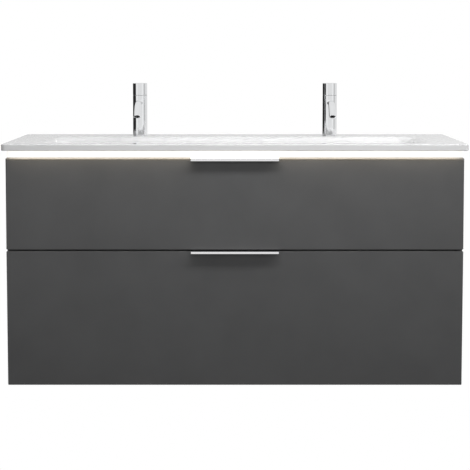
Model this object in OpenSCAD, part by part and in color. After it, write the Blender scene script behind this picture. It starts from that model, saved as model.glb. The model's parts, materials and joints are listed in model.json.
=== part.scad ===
// Wall-hung double vanity: two drawers, a light frame and a moulded trough basin with two taps.
// Frame: +X is to the right, the fronts face -Y, the wall is y = 0, and z = 0 is the bottom edge.

/* [Basin] */
// Width of the basin top
top_w = 1230; // [1210:5:1250]
// Depth of the basin top, from the wall
top_d = 490; // [485:1:500]
// Thickness of the basin's edge
top_t = 17; // [15:1:20]
// Radius of the basin's front corners, seen from above
top_corner_r = 12; // [6:1:20]
// Half the width of the trough at its rim
bowl_half_w = 520; // [500:5:530]
// Flat ledge between the front edge and the trough
ledge_front = 50; // [48:1:56]
// Flat ledge between the trough and the wall, which holds the taps
ledge_back = 125; // [115:1:130]
// Depth of the trough below the top
bowl_depth = 95; // [85:1:98]

/* [Cabinet] */
// How far the basin top passes the cabinet at each side
side_overhang = 10; // [5:1:15]
// How far the basin top passes the drawer fronts
front_overhang = 15; // [12:1:18]
// Height of the lower drawer front
lower_front_h = 359.5; // [355:0.5:365]
// Height of the upper drawer front
upper_front_h = 242; // [238:0.5:248]
// Gap between the two drawer fronts
front_gap = 4.5; // [3.2:0.1:5]
// Thickness of the drawer fronts
front_t = 18; // [17:0.5:19]
// Thickness of the cabinet boards
board_t = 16; // [15:0.5:18]
// Height of the light strip between the cabinet and the basin
light_h = 21; // [18:1:24]

/* [Handles] */
// Width of a handle
handle_w = 232; // [160:2:320]
// How far a handle stands out from the drawer front
handle_reach = 20; // [16:1:24]
// Height of a handle's turned-down lip, with the plate
handle_lip = 7; // [5:0.5:10]
// Sheet thickness of a handle
handle_t = 1.5; // [1.2:0.1:1.8]

/* [Drawers] */
// How far a drawer pulls out
travel = 400; // [320:10:400]
// Height of the upper drawer's box
upper_box_h = 100; // [80:5:100]
// Height of the lower drawer's box
lower_box_h = 200; // [120:5:240]
// Half the width of the upper drawer's opening for the trap
pipe_gap = 90; // [70:5:120]

/* [Taps] */
// Distance of each tap from the middle
tap_x = 275; // [240:1:320]
// Distance of the taps from the wall
tap_back = 73; // [68:1:78]
// Radius of a tap's column
tap_r = 20.5; // [19:0.5:21]
// Height of a tap above the basin
tap_h = 152; // [145:1:160]
// Height of the spout's axis above the basin
spout_z = 95; // [92:1:98]
// Distance of the spout's outlet in front of the tap's axis
spout_reach = 130; // [110:1:150]

/* [Hidden] */
// Cabinet: outer width, faces and heights
cab_w = top_w - 2 * side_overhang;
half_w = cab_w / 2;
face_y = -(top_d - front_overhang);
front_back_y = face_y + front_t;
carcass_gap = 2;
carcass_y = front_back_y + carcass_gap;
upper_front_z = lower_front_h + front_gap;
carcass_h = upper_front_z + upper_front_h;
light_top = carcass_h + light_h;
top_z = light_top + top_t;
inner_x = half_w - board_t;
front_rail_t = 14;
front_rail_h = 40;
middle_rail_h = 44;
rear_rail_h = 98;
rear_rail_back = 24;

// Furniture cams
cam_r = 7.5;
cam_depth = 12.5;
cam_inset = 34;
cam_front_inset = 60;
cam_rear_inset = 50;
cam_play = 0.1;

// Wall plates and the hangers that hook over them
plate_x = [inner_x - 74, inner_x - 9];
plate_z = [carcass_h - 86, carcass_h - 26];
plate_t = 3;
plate_step = 11;
plate_lip_h = 12;
plate_hole_x = inner_x - 54;
plate_hole_z = plate_z[0] + 26;
plate_hole_pitch = 32;
plate_hole_r = 3.5;
hanger_x = [inner_x - 40, inner_x];
hanger_t = 9;
hook_x = [inner_x - 37, inner_x - 9];
hook_y = [-9.5, -5];
hook_t = 8;
hook_rest = 3;

// Drawer boxes and the three-part runners at their sides
runner_w = 13;
runner_t = 1.5;
runner_len = travel;
runner_y = carcass_y + 3;
runner_end_y = runner_y + runner_len;
side_t = 12;
bottom_t = 8;
bottom_rise = 8;
back_t = 16;
box_x = inner_x - runner_w;
box_in_x = box_x - side_t;
upper_box_z = upper_front_z + 40;
lower_box_z = 28;
surround_t = 12;
surround_y = -350;
bracket_size = [12, 16, 50];
bracket_drop = 10;

// Each runner's rails: half their heights, the webs' gaps and how far the lips reach, from the board
runner_rise = 22;
cabinet_rail_half = 18;
cabinet_rail_reach = runner_w - 1;
middle_rail_half = 14;
middle_rail_gap = 3;
middle_rail_reach = runner_w - 2.2;
drawer_rail_half = 10;
drawer_rail_reach = 7.2;

// Hairline between lengths that are butted together
hairline = 0.2;

// Handles and their screws
handle_flange_h = 36;
screw_pitch = 80;
screw_r = 1.75;
screw_len = 12;
screw_head_r = 3.2;
screw_head_h = 1.2;
screw_drop = 22;

// Bumpers on the cabinet's front edges
bumper_r = 3;
bumper_t = 1.8;
bumper_inset = 30;

// Light frame
diffuser_t = 3;
profile_d = 12;
profile_t = 1.5;
strip_h = 8;
strip_t = 1;
light_end_y = -20;
strip_end_gap = 5;
driver_size = [130, 22, 28];
driver_inset = 209;
driver_rise = 22;

// Trough
rim_r = 16;
rim_step = 30;
wall_lean = 8;
floor_r = 45;
bowl_corner_r = 60;
bowl_shell = 12;
bowl_y = (-top_d + ledge_front - ledge_back) / 2;
bowl_half_d = (top_d - ledge_front - ledge_back) / 2;
bowl_floor = top_z - bowl_depth;
slice_h = 0.01;
// The cast holes for the taps and the waste have flats, which their seals cover
hole_flats = 12;

// Waste and bottle trap
drain_r = 24;
flange_r = 32;
flange_h = 2.5;
waste_r = 22.5;
waste_bore_r = 18;
waste_end = bowl_floor - 44;
waste_bar = [2 * waste_bore_r + 1, 6, 5];
waste_bar_rise = 8;
waste_seal_t = 3;
waste_nut_h = 12;
stem_r = 4;
plug_r = 30;
plug_h = 3.5;
plug_gap = 0.5;
pipe_r = 16;
pipe_bore_r = 14.5;
pipe_end_gap = 0.5;
pipe_dip = 62;
spigot_r = 15.5;
spigot_bore_r = 14;
spigot_lap = 6;
running = 0.05;
head_top = waste_end - 23;
head_h = 50;
head_r = 27;
head_wall = 3;
cup_r = 30;
cup_wall = 2.9;
cup_base_t = 3;
cup_h = 59;
cup_lap = 8;
outlet_z = head_top - 21;
boss_r = 19;
boss_root = bowl_y + 10;
boss_end = bowl_y + 38;
coupling_nut_h = 14;
nut_lap = 8;
head_nut_r = 24;
head_nut_h = 12;
outlet_nut_r = 23;
nut_end = bowl_y + 50;

// Taps
cap_h = 35;
cap_pivot = 15;
seat_gap = 0.6;
seal_t = 0.5;
seal_inset = 1.5;
core_r = 15;
core_play = 0.1;
core_h = 40;
core_seat = 1;
stem_tap_r = 4;
stem_over_pin = 4;
cap_bore_r = 13.5;
pin_r = 2;
pin_half = 16;
spout_r = 9.5;
spout_bore_r = 8.1;
bend_angle = 60;
spout_inset = 3.5;
spout_socket = 12;
outlet_drop = 35;
aerator_turn = 4;
aerator_inset = 0.3;
aerator_hole_r = 1.2;
tap_hole_r = 17.5;
shank_r = 14;
shank_drop = 42;
shank_lap = 8;
shank_socket = 10;
inlet_r = 4.5;
inlet_depth = 14;
inlet_offset = 6;
nut_r = 20;
nut_h = 9;
washer_r = 23;
washer_h = 3;

pivot_z = top_z + tap_h - cap_h + cap_pivot;
seat_r = sqrt(tap_r * tap_r + cap_pivot * cap_pivot);
cavity_z = pivot_z - 74;
spout_axis_z = top_z + spout_z;
bend_r = outlet_drop / (1 - cos(bend_angle));
spout_run = spout_reach - bend_r * sin(bend_angle);

// Colours
lacquer = [0.30, 0.30, 0.31];
carcass_grey = [0.33, 0.33, 0.34];
steel = [0.62, 0.64, 0.66];
satin_metal = [0.80, 0.80, 0.81];
chrome = [0.86, 0.87, 0.88];
opal = [0.98, 0.98, 0.96];
basin_white = [0.93, 0.93, 0.94];
plastic_white = [0.88, 0.88, 0.88];
rubber_black = [0.08, 0.08, 0.08];

$fn = 48;

// ---- Shared shapes ----

// A box given by its low and high value along each axis
module board(x, y, z) {
    translate([x[0], y[0], z[0]]) cube([x[1] - x[0], y[1] - y[0], z[1] - z[0]]);
}

// What is drawn for the right side, put on the side asked for: -1 is left, 1 is right
module on_side(side) {
    mirror([side < 0 ? 1 : 0, 0, 0]) children();
}

module both_sides() {
    on_side(-1) children();
    on_side(1) children();
}

module tube(r_out, r_in, h) {
    difference() {
        cylinder(r = r_out, h = h);
        translate([0, 0, -1]) cylinder(r = r_in, h = h + 2);
    }
}

// A cylinder along +Y from the point given
module y_cylinder(from, r, h) {
    translate(from) rotate([-90, 0, 0]) cylinder(r = r, h = h);
}

// A YZ outline drawn out along X between two values
module along_x(x, points) {
    translate([x[0], 0, 0]) rotate([90, 0, 90]) linear_extrude(x[1] - x[0]) polygon(points);
}

// A rounded rectangle centred on [0, y], made of true arcs
module rounded_plate(half_x, half_y, y, r, z, h) {
    translate([0, y, z]) linear_extrude(h) union() {
        square([2 * half_x, 2 * (half_y - r)], center = true);
        square([2 * (half_x - r), 2 * half_y], center = true);
        for (sx = [-1, 1], sy = [-1, 1])
            translate([sx * (half_x - r), sy * (half_y - r)]) circle(r = r);
    }
}

// ---- Cabinet ----

module side_panel() {
    color(carcass_grey) board([inner_x, half_w], [carcass_y, 0], [0, carcass_h]);
}

module left_side_panel() {
    on_side(-1) side_panel();
}

module right_side_panel() {
    on_side(1) side_panel();
}

// Cams as solids, or as the holes that take them when play is given
module cam_set(play) {
    r = cam_r + play;
    depth = cam_depth + play;
    both_sides() {
        for (y = [carcass_y + cam_front_inset, -board_t - cam_rear_inset])
            translate([inner_x - cam_inset, y, -play]) cylinder(r = r, h = depth + play);
        y_cylinder([inner_x - cam_inset, -board_t - play, rear_rail_h / 2], r, depth + play);
        y_cylinder([inner_x - cam_inset, -rear_rail_back - board_t - play,
                    carcass_h - rear_rail_h / 2], r, depth + play);
    }
}

module cabinet_cams() {
    color(steel) cam_set(0);
}

module bottom_panel() {
    color(carcass_grey) difference() {
        board([-inner_x, inner_x], [carcass_y, -board_t], [0, board_t]);
        cam_set(cam_play);
    }
}

module rear_bottom_rail() {
    color(carcass_grey) difference() {
        board([-inner_x, inner_x], [-board_t, 0], [0, rear_rail_h]);
        cam_set(cam_play);
    }
}

module rear_top_rail() {
    color(carcass_grey) difference() {
        board([-inner_x, inner_x], [-rear_rail_back - board_t, -rear_rail_back],
              [carcass_h - rear_rail_h, carcass_h]);
        cam_set(cam_play);
    }
}

module front_rail() {
    color(carcass_grey)
        board([-inner_x, inner_x], [carcass_y, carcass_y + front_rail_t],
              [carcass_h - front_rail_h, carcass_h]);
}

// The rail behind the gap between the two drawer fronts
module middle_rail() {
    middle = lower_front_h + front_gap / 2;
    color(carcass_grey)
        board([-inner_x, inner_x], [carcass_y, carcass_y + front_rail_t],
              [middle - middle_rail_h / 2, middle + middle_rail_h / 2]);
}

// Steel plates screwed to the wall: a back, a step forward and an upstand for the hook
module wall_plates() {
    step_y = -plate_t - plate_step;
    color(steel) both_sides() difference() {
        along_x(plate_x, [
            [0, plate_z[0]], [0, plate_z[1]], [step_y + plate_t, plate_z[1]],
            [step_y + plate_t, plate_z[1] + plate_lip_h], [step_y, plate_z[1] + plate_lip_h],
            [step_y, plate_z[1] - plate_t], [-plate_t, plate_z[1] - plate_t],
            [-plate_t, plate_z[0]]
        ]);
        for (s = [-1, 1])
            y_cylinder([plate_hole_x, -plate_t - 1, plate_hole_z + s * plate_hole_pitch / 2],
                       plate_hole_r, plate_t + 2);
    }
}

// A hanger in the rear corner, with a hook that drops behind the wall plate's upstand
module hanger() {
    lip_top = plate_z[1] + plate_lip_h;
    color(steel) union() {
        board(hanger_x, [-rear_rail_back, -rear_rail_back + hanger_t],
              [plate_z[0] + 5, lip_top + hook_t]);
        board(hook_x, [-rear_rail_back + hanger_t - 1, hook_y[1]], [lip_top, lip_top + hook_t]);
        board(hook_x, hook_y, [plate_z[1] + hook_rest, lip_top + 1]);
    }
}

module left_hanger() {
    on_side(-1) hanger();
}

module right_hanger() {
    on_side(1) hanger();
}

module door_bumpers() {
    color(plastic_white) both_sides()
        for (z = [bumper_inset, lower_front_h - bumper_inset,
                  upper_front_z + bumper_inset, carcass_h - bumper_inset])
            y_cylinder([half_w - board_t / 2, carcass_y - bumper_t, z], bumper_r, bumper_t);
}

// ---- Runners ----

// A C-shaped rail along Y: its web is at web_x and its lips reach to lip_x
module rail(web_x, lip_x, half_h, z) {
    inward = sign(web_x - lip_x);
    translate([0, runner_end_y, z]) rotate([90, 0, 0]) linear_extrude(runner_len) difference() {
        translate([min(web_x, lip_x), -half_h]) square([abs(web_x - lip_x), 2 * half_h]);
        translate([min(web_x, lip_x) - inward * runner_t, -half_h + runner_t])
            square([abs(web_x - lip_x), 2 * (half_h - runner_t)]);
    }
}

module cabinet_runners() {
    color(steel) both_sides()
        for (z = [lower_box_z + runner_rise, upper_box_z + runner_rise])
            rail(inner_x, inner_x - cabinet_rail_reach, cabinet_rail_half, z);
}

module middle_runners(box_z) {
    color(steel) both_sides()
        rail(inner_x - middle_rail_gap, inner_x - middle_rail_reach, middle_rail_half,
             box_z + runner_rise);
}

module drawer_runners(box_z) {
    color(steel) both_sides()
        rail(box_x, box_x + drawer_rail_reach, drawer_rail_half, box_z + runner_rise);
}

module upper_middle_runners() {
    middle_runners(upper_box_z);
}

module lower_middle_runners() {
    middle_runners(lower_box_z);
}

module upper_drawer_runners() {
    drawer_runners(upper_box_z);
}

module lower_drawer_runners() {
    drawer_runners(lower_box_z);
}

// ---- Drawers ----

module handle_screws(top) {
    color(steel) for (i = [-1:1]) {
        y_cylinder([i * screw_pitch, front_back_y - screw_len, top - screw_drop],
                   screw_r, screw_len + screw_head_h / 2);
        y_cylinder([i * screw_pitch, front_back_y, top - screw_drop], screw_head_r, screw_head_h);
    }
}

module screw_holes(top) {
    for (i = [-1:1])
        y_cylinder([i * screw_pitch, front_back_y - screw_len - 1, top - screw_drop],
                   screw_r + running, screw_len + 2);
}

// A drawer front with the shallow rebate that takes the handle's flange
module drawer_front(bottom, height) {
    top = bottom + height;
    color(lacquer) difference() {
        board([-half_w, half_w], [face_y, front_back_y], [bottom, top]);
        board([-handle_w / 2, handle_w / 2], [front_back_y - handle_t, front_back_y + 1],
              [top - handle_flange_h, top + 1]);
        screw_holes(top);
    }
}

// An edge pull of folded sheet: flange behind the front, plate over its top, lip down at the front
module handle(top) {
    lip_y = face_y - handle_reach;
    color(satin_metal) difference() {
        along_x([-handle_w / 2, handle_w / 2], [
            [lip_y, top + handle_t - handle_lip], [lip_y, top + handle_t],
            [front_back_y, top + handle_t], [front_back_y, top - handle_flange_h],
            [front_back_y - handle_t, top - handle_flange_h], [front_back_y - handle_t, top],
            [lip_y + handle_t, top], [lip_y + handle_t, top + handle_t - handle_lip]
        ]);
        screw_holes(top);
    }
}

module drawer_sides(box_z, box_h) {
    color(carcass_grey) both_sides()
        board([box_in_x, box_x], [front_back_y, runner_end_y], [box_z, box_z + box_h]);
}

module front_brackets(box_z, box_h) {
    top = box_z + box_h - bracket_drop;
    color(steel) both_sides()
        board([box_in_x - bracket_size[0], box_in_x],
              [front_back_y, front_back_y + bracket_size[1]], [top - bracket_size[2], top]);
}

module drawer_bottom(box_z) {
    board([-box_in_x, box_in_x], [front_back_y, runner_end_y - back_t],
          [box_z + bottom_rise, box_z + bottom_rise + bottom_t]);
}

module drawer_back(box_z, box_h) {
    board([-box_in_x, box_in_x], [runner_end_y - back_t, runner_end_y],
          [box_z + bottom_rise, box_z + box_h]);
}

// The space that the upper drawer leaves free for the trap
module trap_space() {
    board([-pipe_gap, pipe_gap], [surround_y, 0], [upper_box_z - 1, carcass_h]);
}

module upper_front() {
    drawer_front(upper_front_z, upper_front_h);
}

module upper_handle() {
    handle(carcass_h);
}

module upper_handle_screws() {
    handle_screws(carcass_h);
}

module upper_drawer_sides() {
    drawer_sides(upper_box_z, upper_box_h);
}

module upper_front_brackets() {
    front_brackets(upper_box_z, upper_box_h);
}

module upper_drawer_bottom() {
    color(carcass_grey) difference() {
        drawer_bottom(upper_box_z);
        trap_space();
    }
}

module upper_drawer_back() {
    color(carcass_grey) difference() {
        drawer_back(upper_box_z, upper_box_h);
        trap_space();
    }
}

// Three boards round the trap's space: one at each side, and one butted across their front ends
module upper_pipe_surround() {
    z = [upper_box_z + bottom_rise + bottom_t, upper_box_z + upper_box_h];
    color(carcass_grey) {
        both_sides()
            board([pipe_gap, pipe_gap + surround_t],
                  [surround_y + hairline, runner_end_y - back_t], z);
        board([-pipe_gap - surround_t, pipe_gap + surround_t],
              [surround_y - surround_t, surround_y], z);
    }
}

module lower_front() {
    drawer_front(0, lower_front_h);
}

module lower_handle() {
    handle(lower_front_h);
}

module lower_handle_screws() {
    handle_screws(lower_front_h);
}

module lower_drawer_sides() {
    drawer_sides(lower_box_z, lower_box_h);
}

module lower_front_brackets() {
    front_brackets(lower_box_z, lower_box_h);
}

module lower_drawer_bottom() {
    color(carcass_grey) drawer_bottom(lower_box_z);
}

module lower_drawer_back() {
    color(carcass_grey) drawer_back(lower_box_z, lower_box_h);
}

// ---- Light frame ----

// The frame's three runs: across the front and back along each side
module light_profile() {
    z = [carcass_h, light_top];
    front = carcass_y + diffuser_t;
    side = half_w - diffuser_t;
    color(satin_metal) {
        difference() {
            board([-side, side], [front, front + profile_d], z);
            board([-side - 1, side + 1], [front - 1, front + profile_d - profile_t],
                  [z[0] + profile_t, z[1] - profile_t]);
        }
        both_sides() difference() {
            board([side - profile_d, side], [front + profile_d + hairline, light_end_y], z);
            board([side - profile_d + profile_t, side + 1], [front, light_end_y + 1],
                  [z[0] + profile_t, z[1] - profile_t]);
        }
    }
}

module light_diffuser() {
    z = [carcass_h, light_top];
    color(opal) {
        board([-half_w, half_w], [carcass_y, carcass_y + diffuser_t], z);
        both_sides()
            board([half_w - diffuser_t, half_w],
                  [carcass_y + diffuser_t + hairline, light_end_y], z);
    }
}

// Narrow boards that carry the light-emitting diodes
module light_strips() {
    middle = (carcass_h + light_top) / 2;
    z = [middle - strip_h / 2, middle + strip_h / 2];
    web_y = carcass_y + diffuser_t + profile_d - profile_t;
    web_x = half_w - diffuser_t - profile_d + profile_t;
    color(opal) {
        board([-web_x, web_x], [web_y - strip_t, web_y], z);
        both_sides()
            board([web_x, web_x + strip_t], [web_y + strip_end_gap, light_end_y - strip_end_gap], z);
    }
}

module light_driver() {
    y = -rear_rail_back - board_t;
    x = inner_x - driver_inset;
    z = carcass_h - rear_rail_h + driver_rise;
    color(plastic_white)
        board([x, x + driver_size[0]], [y - driver_size[1], y], [z, z + driver_size[2]]);
}

// ---- Basin ----

// One thin level slice of the trough, pulled in from its rim by inset
module slice(inset, z) {
    translate([0, bowl_y, z]) linear_extrude(slice_h) union() {
        r = bowl_corner_r - inset / 2;
        half_x = bowl_half_w - inset;
        half_y = bowl_half_d - inset;
        square([2 * half_x, 2 * (half_y - r)], center = true);
        square([2 * (half_x - r), 2 * half_y], center = true);
        for (sx = [-1, 1], sy = [-1, 1])
            translate([sx * (half_x - r), sy * (half_y - r)]) circle(r = r, $fn = 20);
    }
}

// The trough below its rounded rim, with every face moved outwards by grow
module trough(grow) {
    wall_inset = rim_r - grow;
    arc_z = bowl_floor + floor_r;
    hull() {
        slice(wall_inset, top_z - rim_r);
        for (a = [0:22.5:90])
            slice(rim_r + wall_lean + floor_r - (floor_r + grow) * cos(a),
                  arc_z - (floor_r + grow) * sin(a));
    }
}

// The slice of the opening at the angle a round its rounded rim, level with the top at 90
module rim_slice(a) {
    slice(rim_r * cos(a), top_z - rim_r * (1 - sin(a)));
}

module basin() {
    color(basin_white) difference() {
        union() {
            rounded_plate(top_w / 2, top_d / 2, -top_d / 2, top_corner_r, light_top, top_t);
            difference() {
                trough(bowl_shell);
                board([-top_w, top_w], [-top_d, 0], [light_top + top_t / 2, top_z + 1]);
            }
        }
        trough(0);
        for (a = [0:rim_step:90 - rim_step]) hull() {
            rim_slice(a);
            rim_slice(a + rim_step);
        }
        translate([0, bowl_y, bowl_floor - bowl_shell - 1])
            cylinder(r = drain_r, h = bowl_shell + 2, $fn = hole_flats);
        both_sides() translate([tap_x, -tap_back, light_top - 1])
            cylinder(r = tap_hole_r, h = top_t + 2, $fn = hole_flats);
    }
}

// ---- Waste and trap ----

// The waste: a flange and a tube, with a bar across that guides the plug's stem
module waste_body() {
    color(chrome) difference() {
        union() {
            translate([0, bowl_y, 0]) rotate_extrude() polygon([
                [waste_bore_r, waste_end], [waste_r, waste_end], [waste_r, bowl_floor],
                [flange_r, bowl_floor], [flange_r, bowl_floor + flange_h / 2],
                [flange_r - 3, bowl_floor + flange_h], [plug_r - 6, bowl_floor + flange_h],
                [waste_bore_r, bowl_floor - 2]
            ]);
            translate([-waste_bar[0] / 2, bowl_y - waste_bar[1] / 2, waste_end + waste_bar_rise])
                cube(waste_bar);
        }
        translate([0, bowl_y, waste_end])
            cylinder(r = stem_r + running, h = waste_bar_rise + waste_bar[2] + 1);
    }
}

module waste_seal() {
    color(rubber_black) translate([0, bowl_y, bowl_floor - bowl_shell - waste_seal_t])
        tube(plug_r, waste_r + running, waste_seal_t);
}

module waste_nut() {
    color(plastic_white)
        translate([0, bowl_y, bowl_floor - bowl_shell - waste_seal_t - waste_nut_h])
            tube(plug_r, waste_r + running, waste_nut_h);
}

module waste_plug() {
    z = bowl_floor + flange_h + plug_gap;
    color(chrome) translate([0, bowl_y, 0]) {
        translate([0, 0, z]) cylinder(r = plug_r, h = plug_h);
        translate([0, 0, waste_end + 3]) cylinder(r = stem_r, h = z - waste_end - 2);
    }
}

// The pipe from the waste, which dips into the water in the trap's cup
module trap_inlet_pipe() {
    bottom = head_top - pipe_dip;
    color(chrome) translate([0, bowl_y, bottom])
        tube(pipe_r, pipe_bore_r, waste_end - pipe_end_gap - bottom);
}

// The trap's head: a short can with a boss towards the wall
module trap_head() {
    color(chrome) difference() {
        union() {
            translate([0, bowl_y, head_top - head_h]) cylinder(r = head_r, h = head_h);
            y_cylinder([0, bowl_y, outlet_z], boss_r, boss_end - bowl_y);
        }
        translate([0, bowl_y, head_top - head_h - 1])
            cylinder(r = head_r - head_wall, h = head_h - head_wall + 1);
        translate([0, bowl_y, head_top - head_wall - 1])
            cylinder(r = pipe_r + running, h = head_wall + 2);
        y_cylinder([0, boss_root, outlet_z], spigot_r + running, boss_end - boss_root + 1);
    }
}

module trap_cup() {
    color(chrome) translate([0, bowl_y, head_top - head_h + cup_lap - cup_h]) difference() {
        cylinder(r = cup_r, h = cup_h);
        translate([0, 0, cup_base_t]) cylinder(r = cup_r - cup_wall, h = cup_h);
    }
}

// Three union nuts: waste to pipe, pipe to trap head, and trap head to outlet pipe
module trap_nuts() {
    color(chrome) {
        translate([0, bowl_y, waste_end - nut_lap]) difference() {
            tube(head_r, pipe_r + running, coupling_nut_h);
            translate([0, 0, nut_lap - running]) cylinder(r = waste_r + running, h = coupling_nut_h);
        }
        translate([0, bowl_y, head_top]) tube(head_nut_r, pipe_r + running, head_nut_h);
        difference() {
            y_cylinder([0, boss_end - nut_lap, outlet_z], outlet_nut_r, nut_end - boss_end + nut_lap);
            y_cylinder([0, boss_end - nut_lap - 1, outlet_z], boss_r + running, nut_lap + 1);
            y_cylinder([0, boss_end - nut_lap - 1, outlet_z], spigot_r + running,
                       nut_end - boss_end + nut_lap + 2);
        }
    }
}

// The outlet pipe ends at the wall; its spigot goes into the trap head's boss
module trap_outlet_pipe() {
    start = boss_end - spigot_lap;
    color(chrome) difference() {
        union() {
            y_cylinder([0, nut_end, outlet_z], pipe_r, -nut_end);
            y_cylinder([0, start, outlet_z], spigot_r, nut_end - start + 1);
        }
        y_cylinder([0, start - 1, outlet_z], spigot_bore_r, 2 - start);
    }
}

// ---- Taps ----

module at_tap(side) {
    translate([side * tap_x, -tap_back, 0]) children();
}

// The column: a hollow for the cartridge, a dished top for the cap and a socket for the spout
module tap_body(side) {
    bottom = top_z + seal_t;
    color(chrome) at_tap(side) difference() {
        translate([0, 0, bottom]) cylinder(r = tap_r, h = pivot_z - cap_pivot - bottom);
        translate([0, 0, pivot_z]) sphere(r = seat_r);
        translate([0, 0, cavity_z]) cylinder(r = core_r + core_play, h = pivot_z - cavity_z);
        y_cylinder([0, -tap_r - 1, spout_axis_z], spout_r + running, spout_socket);
        translate([0, 0, bottom - 1]) cylinder(r = shank_r + running, h = shank_socket + 1);
    }
}

// A stretch of the spout's bend between two angles, with the profile given as its children
module spout_bend(from, to) {
    translate([0, -spout_run, spout_axis_z - bend_r]) rotate([180, -90, 0]) rotate([0, 0, from])
        rotate_extrude(angle = to - from) translate([bend_r, 0]) children();
}

// The spout runs straight out of the column and then bends down to its outlet
module tap_spout(side) {
    color(chrome) at_tap(side) difference() {
        union() {
            y_cylinder([0, -spout_run, spout_axis_z], spout_r, spout_run - tap_r + spout_inset);
            spout_bend(0, bend_angle) circle(r = spout_r);
        }
        y_cylinder([0, -spout_run, spout_axis_z], spout_bore_r, spout_run);
        spout_bend(0, bend_angle + 1) circle(r = spout_bore_r);
    }
}

// The black insert that fills the spout's mouth
module tap_aerator(side) {
    end = bend_angle - aerator_inset;
    color(rubber_black) at_tap(side) difference() {
        spout_bend(end - aerator_turn, end) circle(r = spout_bore_r - running);
        spout_bend(end - aerator_turn - 1, end + 1) circle(r = aerator_hole_r);
    }
}

// The threaded shank below the column, with the two water inlets in its end
module tap_shank(side) {
    color(steel) at_tap(side) translate([0, 0, light_top - shank_drop]) difference() {
        cylinder(r = shank_r, h = shank_drop + top_t + seal_t + shank_lap);
        for (s = [-1, 1])
            translate([s * inlet_offset, 0, -1]) cylinder(r = inlet_r, h = inlet_depth + 1);
    }
}

module tap_seals() {
    color(rubber_black) for (side = [-1, 1]) at_tap(side)
        translate([0, 0, top_z]) tube(tap_r - seal_inset, shank_r + running, seal_t);
}

// Under the basin: a washer and a nut on each shank
module tap_nuts() {
    color(steel) for (side = [-1, 1]) at_tap(side) {
        translate([0, 0, light_top - washer_h]) tube(washer_r, shank_r + running, washer_h);
        translate([0, 0, light_top - washer_h - nut_h]) difference() {
            cylinder(r = nut_r, h = nut_h, $fn = 6);
            translate([0, 0, -1]) cylinder(r = shank_r + running, h = nut_h + 2);
        }
    }
}

// The turning part of the cartridge: a drum, a stem and the cross pin that the cap tilts on
module tap_core(side) {
    color(steel) at_tap(side) {
        translate([0, 0, cavity_z + core_seat]) cylinder(r = core_r, h = core_h);
        translate([0, 0, cavity_z + core_h])
            cylinder(r = stem_tap_r, h = pivot_z + stem_over_pin - cavity_z - core_h);
        translate([-pin_half, 0, pivot_z]) rotate([0, 90, 0]) cylinder(r = pin_r, h = 2 * pin_half);
    }
}

// The cap: the column's top end, with a rounded underside that follows the dished seat
module tap_cap(side) {
    color(chrome) at_tap(side) translate([0, 0, pivot_z]) difference() {
        union() {
            cylinder(r = tap_r, h = cap_h - cap_pivot);
            intersection() {
                translate([0, 0, -seat_r]) cylinder(r = tap_r, h = seat_r + 1);
                sphere(r = seat_r - seat_gap);
            }
        }
        translate([0, 0, -seat_r]) cylinder(r = cap_bore_r, h = seat_r + 8);
        translate([-pin_half - 1, 0, 0]) rotate([0, 90, 0])
            cylinder(r = pin_r + running, h = 2 * pin_half + 2);
    }
}

module left_tap_body() {
    tap_body(-1);
}

module left_tap_spout() {
    tap_spout(-1);
}

module left_tap_aerator() {
    tap_aerator(-1);
}

module left_tap_shank() {
    tap_shank(-1);
}

module left_tap_core() {
    tap_core(-1);
}

module left_tap_cap() {
    tap_cap(-1);
}

module right_tap_body() {
    tap_body(1);
}

module right_tap_spout() {
    tap_spout(1);
}

module right_tap_aerator() {
    tap_aerator(1);
}

module right_tap_shank() {
    tap_shank(1);
}

module right_tap_core() {
    tap_core(1);
}

module right_tap_cap() {
    tap_cap(1);
}

left_side_panel();
right_side_panel();
bottom_panel();
front_rail();
middle_rail();
rear_top_rail();
rear_bottom_rail();
cabinet_cams();
left_hanger();
right_hanger();
wall_plates();
cabinet_runners();
door_bumpers();
light_profile();
light_diffuser();
light_strips();
light_driver();
basin();
waste_body();
waste_seal();
waste_nut();
trap_inlet_pipe();
trap_head();
trap_cup();
trap_nuts();
trap_outlet_pipe();
waste_plug();
left_tap_body();
left_tap_spout();
left_tap_aerator();
left_tap_shank();
right_tap_body();
right_tap_spout();
right_tap_aerator();
right_tap_shank();
tap_seals();
tap_nuts();
left_tap_core();
left_tap_cap();
right_tap_core();
right_tap_cap();
upper_front();
upper_handle();
upper_handle_screws();
upper_drawer_sides();
upper_drawer_bottom();
upper_drawer_back();
upper_pipe_surround();
upper_front_brackets();
upper_drawer_runners();
upper_middle_runners();
lower_front();
lower_handle();
lower_handle_screws();
lower_drawer_sides();
lower_drawer_bottom();
lower_drawer_back();
lower_front_brackets();
lower_drawer_runners();
lower_middle_runners();
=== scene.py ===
"""Looks for the wall-hung double vanity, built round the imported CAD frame.

The scene, the looks and the lights are in metres; shapes and their sizes are in millimetres. X runs to the
right, the fronts face -Y, the wall is y = 0 and z = 0 is the cabinet's bottom edge.
"""

import json
import math

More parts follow.
